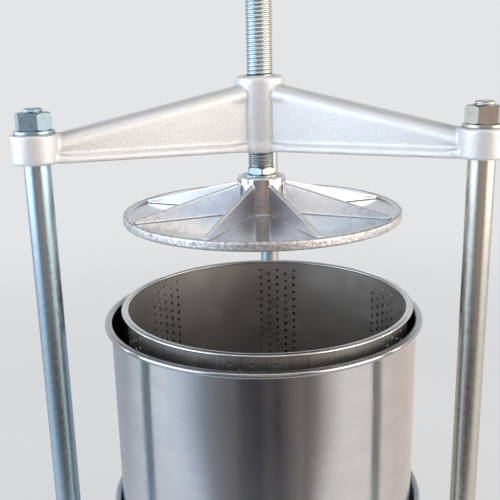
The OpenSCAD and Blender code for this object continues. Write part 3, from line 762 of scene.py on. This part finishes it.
class PRESS_OT_spindle(Operator):
    """The spindle with its rounded thread, the thrust nut and what holds the plate"""

    bl_idname = "press.spindle"
    bl_label = "Spindle"

    def execute(self, context):
        sizes = context.scene.press_sizes
        low, high = box_mm("spindle")
        nut_low, nut_high = box_mm("thrust_nut")
        washer_low, washer_high = box_mm("thrust_washer")
        head_low = box_mm("spindle_head")[0].z
        neck, depth = sizes.neck / MM / 2, sizes.thread_depth / MM
        root, chamfer, clearance = high.x - depth, 0.8, 0.05
        shaft = bmesh.new()
        lathe(shaft, [
            (0, low.z), (neck - chamfer, low.z), (neck, low.z + chamfer), (neck, nut_high.z),
            (root, nut_high.z),
        ])
        threaded(shaft, high.x, depth, sizes.thread_pitch / MM, nut_high.z, head_low)
        lathe(shaft, [(root, head_low), (neck, head_low), (neck, high.z), (0, high.z)])
        piece("spindle_threaded", shaft, "zinc", "spindle", ("spindle",),
              sharp_deg=40)

        # the nut's half depth along Y is that of its front corner, turned a little
        across = 2 * nut_high.y / math.cos(sizes.nut_turn) * math.cos(TURN / 12)
        turn = FRONT + sizes.nut_turn + TURN / 12
        nut = hexagon_nut(bmesh.new(), (0, 0), nut_low.z, nut_high.z, across, neck, turn)
        piece("thrust_nut_hexagon", nut, "zinc", "spindle", ("thrust_nut",))
        washer = ring(washer_high.x, neck + clearance, washer_low.z, washer_high.z, edge=0.25)
        piece("thrust_washer_ring", washer, "zinc", "thrust", ("thrust_washer",))
        dress("zinc", "zinc_steel", "end_washer")
        dress("bronze", "bronze", "spindle_bush")
        dress("oxide", "black_screws", "retaining_ring", "bush_screw")
        return {"FINISHED"}


class PRESS_OT_basket(Operator):
    """The perforated basket: a rolled sheet with groups of drain holes and hemmed rims"""

    bl_idname = "press.basket"
    bl_label = "Basket"

    def execute(self, context):
        sizes = context.scene.press_sizes
        low, high = box_mm("basket")
        rim_r = (high.x - low.x) / 2
        inner = rim_r - sizes.rim_width / MM - sizes.sheet / MM
        parts = (
            self.wall(sizes, low.z, high.z, inner),
            self.hems(sizes, low.z, high.z, inner, rim_r),
        )
        whole = joined("basket_perforated", parts, (low.x + high.x) / 2)
        piece("basket_perforated", whole, "basket", "basket", ("basket",))
        return {"FINISHED"}

    @staticmethod
    def wall(sizes, foot, head, inner):
        """The sheet: cells with a hole each, and plain sheet round them."""
        row, column, hole_r = sizes.hole_row / MM, sizes.hole_column / MM, sizes.hole / MM / 2
        margin, half_rim = sizes.hole_margin / MM, sizes.rim_height / MM / 2
        spokes, slack = 16, 0.01

        # levels that every strip of the wall shares, a quarter of a row apart
        quarter, least = row / 4, 0.05
        top_row, bottom, top = head - margin, foot + half_rim, head - half_rim
        above, below = int((top - top_row) / quarter), int((top_row - bottom) / quarter)
        levels = [bottom] + [top_row + k * quarter for k in range(-below, above + 1)] + [top]
        if levels[1] - levels[0] < least:
            levels.pop(1)
        if levels[-1] - levels[-2] < least:
            levels.pop(-2)
        bands = list(zip(levels, levels[1:]))

        around = TURN * inner
        built = bmesh.new()
        known = {}

        def vertex(s, z):
            """A vertex at distance s round the wall and height z."""
            return built.verts.new((*polar(inner, REAR - sizes.hole_turn + s / inner), z))

        def corner(s, z):
            """The vertex there that all neighbours share."""
            key = (round(s % around, 3) % round(around, 3), round(z, 3))
            if key not in known:
                known[key] = vertex(s, z)
            return known[key]

        def plain(s0, s1, z0, z1):
            built.faces.new((corner(s0, z0), corner(s1, z0), corner(s1, z1), corner(s0, z1)))

        def drilled(s, z):
            """One cell with a round hole in it."""
            rays = [polar(1, TURN * k / spokes) for k in range(spokes)]
            border = []
            for u, v in rays:
                scale = max(abs(u), abs(v))
                # the eighths of a side are evened out to its quarters
                u, v = round(u / scale * 2) / 2, round(v / scale * 2) / 2
                border.append(corner(s + u * column / 2, z + v * row / 2))
            rim = [vertex(s + hole_r * u, z + hole_r * v) for u, v in rays]
            for k in range(spokes):
                j = (k + 1) % spokes
                built.faces.new((rim[k], border[k], border[j], rim[j]))

        group_arc = around / sizes.hole_groups
        half_field = sizes.hole_columns * column / 2
        blank, blank_steps = group_arc - 2 * half_field, 10
        for group in range(sizes.hole_groups):
            middle = group * group_arc
            for c in range(sizes.hole_columns):
                s = middle + (c - (sizes.hole_columns - 1) / 2) * column
                first = top_row - (c % 2) * row / 2
                count = int((first - foot - margin) / row) + 1
                for k in range(count):
                    drilled(s, first - k * row)
                upper, lower = first + row / 2, first - (count - 1) * row - row / 2
                for z0, z1 in bands:
                    if z0 >= upper - slack or z1 <= lower + slack:
                        for q in range(4):
                            plain(s + (q / 4 - 0.5) * column, s + (q / 4 - 0.25) * column, z0, z1)
            start = middle + half_field
            for z0, z1 in bands:
                for q in range(blank_steps):
                    s0, s1 = (start + blank * k / blank_steps for k in (q, q + 1))
                    plain(s0, s1, z0, z1)
        return thickened("basket", built, sizes.sheet / MM, 1.0)

    @staticmethod
    def hems(sizes, foot, head, inner, rim_r):
        """The rolled hems: a crowned lip, its outer edge rounder than its inner one."""
        sheet, rim_h, lip_r = sizes.sheet / MM, sizes.rim_height / MM, inner - sizes.rim_inset / MM
        edge, crown, lip_steps, crown_steps = rim_h / 2, rim_h * 0.3, 6, 8
        flat_edge = edge * 0.9
        outline = [(inner + sheet * 0.5, -rim_h * 0.9)]
        for k in range(lip_steps):
            a = TURN / 4 * k / lip_steps
            outline.append((
                lip_r + edge - edge * math.cos(a),
                -crown * 0.5 - flat_edge + flat_edge * math.sin(a),
            ))
        # the crown is highest a little inside its middle
        for k in range(crown_steps + 1):
            outline.append((
                lip_r + edge + (rim_r - lip_r - 2 * edge) * k / crown_steps,
                -crown * (2 * k / crown_steps - 0.75) ** 2 * 0.8,
            ))
        outline += arc(rim_r - edge, -edge - crown * 0.35, edge * 0.98, 75, -90, 12)
        outline.append((inner + sheet + 0.1, -rim_h))
        built = bmesh.new()
        for face, up in ((head, 1), (foot, -1)):
            lathe(built, [(r, face + up * z) for r, z in outline], segments=192, closed=True)
        return metres("basket_hems", built)


class PRESS_OT_jacket(Operator):
    """The jacket: a brushed sheet with a rolled bead, a welded seam behind and a notch below"""

    bl_idname = "press.jacket"
    bl_label = "Jacket"

    def execute(self, context):
        sizes = context.scene.press_sizes
        low, high = box_mm("jacket")
        mid_r = (high.x - low.x) / 2 - sizes.bead_width / MM + sizes.sheet / MM / 2
        bead_z = high.z - sizes.bead_height / MM / 2
        parts = self.wall(sizes, low.z, bead_z, mid_r), self.seam(sizes, low.z, bead_z, mid_r)
        whole = joined("jacket_brushed", parts, (low.x + high.x) / 2)
        piece("jacket_brushed", whole, "jacket", "jacket", ("jacket",))
        return {"FINISHED"}

    @staticmethod
    def wall(sizes, foot, bead_z, mid_r):
        """The sheet with its bead rolled outwards, and without the notch's faces."""
        sheet, bead_h, notch_h = sizes.sheet / MM, sizes.bead_height / MM, sizes.notch_height / MM
        roll, flat = (bead_h - sheet) / 2, sizes.bead_width / MM - bead_h
        profile = [(mid_r, foot), (mid_r, foot + notch_h)]
        upper_h, steps = bead_z - foot - notch_h, 6
        profile += [(mid_r, foot + notch_h + upper_h * k / steps) for k in range(1, steps)]
        profile += arc(mid_r + roll, bead_z, roll, 180, 90, 10)
        profile += arc(mid_r + roll + flat, bead_z, roll, 90, -90, 16)
        profile += [(mid_r + roll + flat * 0.5, bead_z - roll)]
        half = math.asin(sizes.notch_width / MM / 2 / mid_r)
        segments, notch_segments = 216, 8
        angles = sorted(
            [FRONT + half + (TURN - 2 * half) * k / segments for k in range(segments + 1)]
            + [FRONT - half + 2 * half * k / notch_segments for k in range(1, notch_segments)]
        )
        built = bmesh.new()
        rings = [
            [built.verts.new((*polar(r, angle), z)) for angle in angles] for r, z in profile
        ]
        for level, (lower, upper) in enumerate(zip(rings, rings[1:])):
            for i, angle in enumerate(angles):
                j = (i + 1) % len(angles)
                middle = (angle + (angles[j] if j else angles[0] + TURN)) / 2
                away = math.atan2(math.sin(middle - FRONT), math.cos(middle - FRONT))
                if level == 0 and abs(away) < half:
                    continue
                built.faces.new((lower[i], lower[j], upper[j], upper[i]))
        return thickened("jacket", built, sheet, 0.0)

    @staticmethod
    def seam(sizes, foot, bead_z, mid_r):
        """The seam behind: a low ground-down weld, slightly wavy."""
        built = bmesh.new()
        out, steps, rows = mid_r + sizes.sheet / MM / 2, 160, []
        # half its width, how far it wavers, how deep it sits and how high it stands from there
        half, waver, sunk, bulge = 1.3, 0.25, 0.12, 0.3
        start, short = 1, 4
        for k in range(steps):
            z = foot + start + (bead_z - foot - short) * k / (steps - 1)
            width = half + waver * noise.noise(Vector((z * 0.7, 0, 3.1)))
            shift = waver * noise.noise(Vector((z * 0.3, 4.0, 0)))
            rows.append([
                built.verts.new((
                    x * width + shift, out - sunk + bulge * math.sqrt(max(0, 1 - x * x)), z,
                )) for x in (-1, -0.6, -0.2, 0.2, 0.6, 1)
            ])
        bridge(built, rows)
        built.faces.new(rows[0])
        built.faces.new(rows[-1])
        return metres("jacket_seam", built)


class PRESS_OT_tray(Operator):
    """The juice tray with its spout, the drain plate and the screws from below"""

    bl_idname = "press.tray"
    bl_label = "Tray"

    def execute(self, context):
        dress("enamel", "tray_paint", "tray", "spout")
        dress("basket", "stainless_basket", "drain_plate")
        dress("oxide", "black_screws", "tray_screws")

        # the weld that runs round the spout's flange on the tray's curved wall
        low, high = box_mm("spout")
        flange_r = (high.x - low.x) / 2
        tray_r = math.hypot(high.y, flange_r)
        steps, sides = 96, 10
        bead_r, ripple, ripples = 1.3, 0.25, 30
        weld = bmesh.new()
        rings = []
        for a in (TURN * k / steps for k in range(steps)):
            thick = bead_r + ripple * math.sin(a * ripples)
            x, z = flange_r * math.cos(a), (low.z + high.z) / 2 + flange_r * math.sin(a)
            y = -math.sqrt(tray_r ** 2 - x ** 2)
            rings.append([
                weld.verts.new((
                    x + thick * math.cos(b) * math.cos(a), y - thick * math.sin(b),
                    z + thick * math.cos(b) * math.sin(a),
                )) for b in (TURN * i / sides for i in range(sides))
            ])
        bridge(weld, rings, closed=True)
        piece("spout_weld", weld, "enamel", "frame")
        return {"FINISHED"}


class PRESS_OT_posts(Operator):
    """The three posts with threaded ends, washers and nuts"""

    bl_idname = "press.posts"
    bl_label = "Posts"

    def execute(self, context):
        sizes = context.scene.press_sizes
        low, high = box_mm("post_rear")
        radius, post_r = (high.x - low.x) / 2, (low.y + high.y) / 2
        washer_low, washer_high = box_mm("post_washers")
        nut_low, nut_high = box_mm("post_nuts")
        pitch, end_r, chamfer = sizes.post_pitch / MM, sizes.post_end / MM / 2, 0.8
        depth, thread_top = pitch / 2, high.z - chamfer
        root, foot_edge, shoulder_edge = end_r - depth, 1, 0.4
        # the post's shoulder carries the yoke's boss, and the washer lies on top of the boss
        shoulder = washer_low.z - sizes.boss / MM
        washer_r, across = sizes.post_washer / MM / 2, sizes.post_nut / MM
        washers, nuts = bmesh.new(), bmesh.new()
        for name, angle in zip(("rear", "left", "right"), POST_ANGLES):
            centre = polar(post_r, angle)
            post = bmesh.new()
            lathe(post, [
                (0, low.z), (radius - foot_edge, low.z), (radius, low.z + foot_edge),
                (radius, shoulder - shoulder_edge), (radius - shoulder_edge, shoulder),
                (root, shoulder),
            ], centre, 64)
            threaded(post, end_r, depth, pitch, shoulder, thread_top, centre)
            lathe(post, [(root, thread_top), (root - chamfer, high.z), (0, high.z)], centre, 32)
            node = "post_" + name
            piece(node + "_turned", post, "zinc", "frame", (node,), sharp_deg=40)
            ring(washer_r, end_r, washer_low.z, washer_high.z, edge=0.35, centre=centre,
                 target=washers)
            hexagon_nut(nuts, centre, nut_low.z, nut_high.z, across, end_r, angle)
        piece("post_washers_rings", washers, "zinc", "frame", ("post_washers",))
        piece("post_nuts_hexagons", nuts, "zinc", "frame", ("post_nuts",))
        dress("oxide", "black_screws", "base_set_screws")
        return {"FINISHED"}


class PRESS_OT_handle(Operator):
    """The spindle's head with its pin, the handle bar and its two knobs"""

    bl_idname = "press.handle"
    bl_label = "Handle"

    def execute(self, context):
        head = rounded_copy("spindle_head", voxel_mm=0.45, rounds=3, keep=0.4)
        piece("spindle_head_turned", head, "zinc", "spindle", ("spindle_head",),
              sharp_deg=180)
        dress("zinc", "zinc_steel", "handle_bar", "head_pin")
        dress("oxide", "black_screws", "bar_screw")
        bar_low, bar_high = box_mm("handle_bar")
        bar_r, axis_z = (bar_high.y - bar_low.y) / 2, (bar_low.z + bar_high.z) / 2
        for side, name in ((-1, "knob_left"), (1, "knob_right")):
            low, high = box_mm(name)
            r = (high.y - low.y) / 2
            inside, tip = sorted((abs(low.x), abs(high.x)))
            middle = tip - r
            flat = middle - inside
            neck = int(math.degrees(math.acos(flat / r)))
            # a ball with a mould line round its middle and a short collar at the bar
            line_depth, step = 0.12, 3
            profile = [(0.0, r)]
            for degrees in range(step, 178 - neck, step):
                ball_r = r - line_depth if abs(degrees - 90) <= step else r
                a = math.radians(degrees)
                profile.append((ball_r * math.sin(a), ball_r * math.cos(a)))
            profile.append((math.sqrt(r * r - flat * flat) - 0.4, -flat + 0.1))
            profile += [(bar_r, -flat), (bar_r, 0)]
            knob = lathe(bmesh.new(), profile, segments=64)
            lying = Matrix.Rotation(side * math.pi / 2, 4, "Y")
            moved = Matrix.Translation((side * middle, 0, axis_z)) @ lying
            bmesh.ops.transform(knob, matrix=moved, verts=knob.verts)
            piece(name + "_ball", knob, "resin", "spindle", (name,), sharp_deg=50)
        return {"FINISHED"}


# The room that the bright metal shows, seen from the press: the side angle in degrees, to the
# right of the front, and the shade there. A dark doorway lies straight ahead.
ROOM = (
    (-180, "#FAFCFF"), (-160, "#A6ACB6"), (-112, "#ACB3BD"), (-92, "#D4DAE4"), (-70, "#DCE4F0"),
    (-56, "#C6D3E4"), (-45, "#9FAABA"), (-37, "#80868E"), (-26, "#717378"), (-17, "#656567"),
    (-13, "#4C4D50"), (-2, "#33353C"), (5, "#4C4B4B"), (11, "#38373C"), (15, "#504F52"),
    (20, "#686462"), (26, "#75716E"), (30, "#6A6460"), (37, "#827A75"), (44, "#B4ADA9"),
    (56, "#E6E2E1"), (86, "#E8E2E0"), (104, "#DCCFC8"), (140, "#E0CFC8"), (160, "#D0C6C2"),
    (180, "#FFFCFA"),
)

# What stands further away in the doorway, and shows in the plate's hub: a blue-grey and a
# brown thing side by side
FAR_ROOM = {
    -37: "#95A1AD", -26: "#7E8A97", -17: "#8D8D95", -13: "#A89A98", -2: "#B29B94", 5: "#C2A79D",
    11: "#C9AB9F", 15: "#C5A798", 20: "#BA9C8E", 26: "#A68C80", 30: "#807470", 37: "#958780",
}

# Rings of that picture on the floor: the radius in metres, how far the flanks of the dark are
# squeezed together there, how far the pale floor lifts the shades, and the share of FAR_ROOM
ROOM_RINGS = (
    (0.30, 0.30, 0.12, 0), (0.42, 0.52, 0.09, 0), (0.50, 0.72, 0.06, 0), (0.58, 0.92, 0.01, 0),
    (0.66, 1.0, 0.0, 0), (1.05, 1.0, 0.0, 0), (1.3, 1.0, 0.0, 1), (3.0, 1.0, 0.0, 1),
)


def on_rays(tree, first, *others):
    """One on light rays of these kinds, nothing on the rest."""
    path = add(tree, "ShaderNodeLightPath")
    share = path.outputs[first]
    for other in others:
        share = maths("MAXIMUM", share, path.outputs[other])
    return share


def lamp(name, power, width, height, tone, where):
    light = bpy.data.lights.new(name, "AREA")
    light.shape = "RECTANGLE"
    light.size, light.size_y = width, height
    light.energy = power
    light.color = linear(tone)[:3]
    made = placed(name, light)
    made.location = where
    target = Vector((0, 0, 0.4))
    made.rotation_euler = (target - Vector(where)).to_track_quat("-Z", "Y").to_euler()


class PRESS_OT_stage(Operator):
    """Pale floor and backdrop, soft lamps, a shaded disc for the reflections, and the camera"""

    bl_idname = "press.stage"
    bl_label = "Stage"

    def execute(self, context):
        studio = context.scene.press_studio
        colours = context.scene.press_colours
        context.scene.view_settings.view_transform = "Standard"
        self.floor(studio, colours)
        self.world(studio, colours)
        lamp("left_lamp", studio.left_lamp, 2.6, 2.2, "#E4F0FF", (-1.85, -0.62, 0.85))
        lamp("right_lamp", studio.right_lamp, 2.6, 2.2, "#FFF3E6", (1.85, -0.62, 0.85))
        lamp("top_lamp", studio.top_lamp, 1.8, 0.5, "#FFFFFF", (0, -0.75, 2.0))
        self.room_card()
        context.scene.camera = self.camera(studio)
        return {"FINISHED"}

    @staticmethod
    def floor(studio, colours):
        """A wide pale disc that fades into the backdrop, so that no horizon shows."""
        mesh = bpy.data.meshes.new("floor")
        ground = bmesh.new()
        bmesh.ops.create_circle(ground, cap_ends=True, radius=9.0, segments=96)
        ground.to_mesh(mesh)
        ground.free()
        place, mottled, finish = start_material("Matt studio paper")
        tree = place.id_data
        reach = add(tree, "ShaderNodeVectorMath", {0: place}, operation="LENGTH").outputs["Value"]
        # near the press the paper glows only in part, and from 1.7 m on it takes no light
        glow = ramp(reach, 0.6, 1.7, studio.floor_glow, 1.0, interpolation_type="SMOOTHSTEP")
        seen = on_rays(tree, "Is Camera Ray", "Is Glossy Ray", "Is Transmission Ray")
        mesh.materials.append(finish(**{
            "Base Color": tint(mottled(300, 0, 0.3), colours.floor, "#E2E3E4"),
            "Roughness": 0.85, "Specular IOR Level": 0.2,
            "Normal": raised(mottled(2, 0, 1), 0.05, 0.3),
        }))
        paper = tree.nodes["Principled BSDF"].outputs[0]
        pale = add(tree, "ShaderNodeEmission", {"Color": colours.sky, "Strength": 1.0}).outputs[0]
        share = maths("MULTIPLY", glow, seen)
        both = add(tree, "ShaderNodeMixShader", {0: share, 1: paper, 2: pale}).outputs[0]
        tree.links.new(both, tree.nodes["Material Output"].inputs["Surface"])
        placed("floor", mesh)

    @staticmethod
    def world(studio, colours):
        """A pale backdrop for the eye, and a dimmer fill for light and reflections that falls
        off overhead."""
        world = bpy.data.worlds.new("Studio")
        bpy.context.scene.world = world
        world.use_nodes = True
        tree = world.node_tree
        tree.nodes.clear()
        level = axis(add(tree, "ShaderNodeTexCoord").outputs["Generated"], "Z")
        light = ramp(level, 0.05, 0.9, studio.fill, studio.fill / 3)
        # in the metal the pale backdrop ends at about 25 degrees up, and a dim ceiling follows
        metal = ramp(level, 0.3, 0.55, 0.85, 0.25, interpolation_type="SMOOTHSTEP")
        dim = between(on_rays(tree, "Is Glossy Ray"), light, metal)
        backdrop = add(tree, "ShaderNodeBackground", {"Color": colours.sky, "Strength": 1.0})
        fill = add(tree, "ShaderNodeBackground", {"Color": linear("#F4F6F9"), "Strength": dim})
        eye = on_rays(tree, "Is Camera Ray", "Is Transmission Ray")
        inputs = {0: eye, 1: fill.outputs[0], 2: backdrop.outputs[0]}
        mixed = add(tree, "ShaderNodeMixShader", inputs)
        add(tree, "ShaderNodeOutputWorld", {"Surface": mixed.outputs[0]})

    @staticmethod
    def room_card():
        """The room, as a glowing disc just above the floor with the doorway standing at its
        edge. Only reflections see it."""
        steps, card_z, doorway_top, doorway_side = 6, 0.002, 1.5, 45
        pale = Vector((0.6, 0.6, 0.6, 1.0))
        # the dark middle keeps its width, its flanks are squeezed, and all beyond stays
        dark_side, flank_width, beside, fade_width = 20, 45, 65, 45

        def blend(first, second, share):
            """The shade between two."""
            return Vector(linear(first)).lerp(Vector(linear(second)), share)

        fan = bmesh.new()
        shade = fan.verts.layers.float_color.new("shade")
        rows = []
        for (a0, c0), (a1, c1) in zip(ROOM, ROOM[1:]):
            for mix in (k / steps for k in range(steps)):
                close = blend(c0, c1, mix)
                far = blend(FAR_ROOM.get(a0, c0), FAR_ROOM.get(a1, c1), mix)
                row = []
                for radius, squeeze, lift, distant in ROOM_RINGS:
                    side = a0 + (a1 - a0) * mix
                    flank = min(max(abs(side) - dark_side, 0), flank_width)
                    past = max(0, 1 - max(abs(side) - beside, 0) / fade_width)
                    side -= math.copysign(flank * (1 - squeeze) * past, side)
                    vert = fan.verts.new((*polar(radius, FRONT + math.radians(side)), card_z))
                    vert[shade] = close.lerp(far, distant).lerp(pale, lift)
                    row.append(vert)
                top = fan.verts.new((row[-1].co.x, row[-1].co.y, doorway_top))
                top[shade] = far
                rows.append((row, top, abs(a0) < doorway_side))
        for (first, top, doorway), (second, next_top, _) in zip(rows, rows[1:] + rows[:1]):
            for a, b, c, d in zip(first, first[1:], second[1:], second):
                fan.faces.new((a, b, c, d))
            if doorway:
                fan.faces.new((first[-1], top, next_top, second[-1]))
        card = bpy.data.meshes.new("room_card")
        fan.to_mesh(card)
        fan.free()
        material = bpy.data.materials.new("Room seen in the metal")
        material.use_nodes = True
        tree = material.node_tree
        tree.nodes.clear()
        tone = add(tree, "ShaderNodeAttribute", attribute_name="shade").outputs["Color"]
        glow = add(tree, "ShaderNodeEmission", {"Color": tone, "Strength": 1.0})
        add(tree, "ShaderNodeOutputMaterial", {"Surface": glow.outputs[0]})
        card.materials.append(material)
        made = placed("room_card", card)
        made.visible_camera = made.visible_diffuse = made.visible_shadow = False
        made.visible_transmission = made.visible_volume_scatter = False

    @staticmethod
    def camera(studio):
        """The photograph's camera, from a fit of the outlines: 0.66 m in front, 0.55 m up,
        15 degrees down, with a small turn and roll."""
        turn, pitch, yaw, roll = math.radians(2.4), 0.2655, -0.0170, 0.022
        distance, height = 0.6618, 0.5487
        out = Matrix.Rotation(turn, 3, "Z")
        forward = Vector((
            math.sin(yaw) * math.cos(pitch), math.cos(yaw) * math.cos(pitch), -math.sin(pitch),
        ))
        right = Vector((math.cos(yaw), -math.sin(yaw), 0))
        down = forward.cross(right)
        right, down = (
            math.cos(roll) * right + math.sin(roll) * down,
            math.cos(roll) * down - math.sin(roll) * right,
        )
        place = out @ Vector((0, -distance, 0))
        place.z = height
        axes = Matrix((out @ right, out @ -down, out @ -forward)).transposed()
        data = bpy.data.cameras.new("camera")
        data.lens = studio.lens
        data.sensor_width = 36.0
        data.clip_start, data.clip_end = 0.01, 50.0
        made = placed("camera", data)
        made.matrix_world = Matrix.Translation(place) @ axes.to_4x4()
        return made


STEPS = (
    PRESS_OT_stage, PRESS_OT_castings, PRESS_OT_press_plate, PRESS_OT_spindle, PRESS_OT_basket,
    PRESS_OT_jacket, PRESS_OT_tray, PRESS_OT_posts, PRESS_OT_handle,
)


class PRESS_PT_panel(Panel):
    """Sizes, colours and steps of the fruit press"""

    bl_idname = "PRESS_PT_panel"
    bl_label = "Fruit press"
    bl_space_type = "VIEW_3D"
    bl_region_type = "UI"
    bl_category = "Fruit press"

    def draw(self, context):
        scene = context.scene
        for group in (scene.press_sizes, scene.press_colours, scene.press_studio):
            column = self.layout.box().column()
            for name in group.__annotations__:
                column.prop(group, name)
        for step in STEPS:
            self.layout.operator(step.bl_idname)


CLASSES = (PressColours, PressSizes, PressStudio) + STEPS + (PRESS_PT_panel,)


def register():
    for made in CLASSES:
        bpy.utils.register_class(made)
    bpy.types.Scene.press_colours = PointerProperty(type=PressColours)
    bpy.types.Scene.press_sizes = PointerProperty(type=PressSizes)
    bpy.types.Scene.press_studio = PointerProperty(type=PressStudio)


def unregister():
    del bpy.types.Scene.press_studio
    del bpy.types.Scene.press_sizes
    del bpy.types.Scene.press_colours
    for made in reversed(CLASSES):
        bpy.utils.unregister_class(made)


def main():
    register()
    for step in STEPS:
        group, name = step.bl_idname.split(".")
        getattr(getattr(bpy.ops, group), name)()


if __name__ == "__main__":
    main()
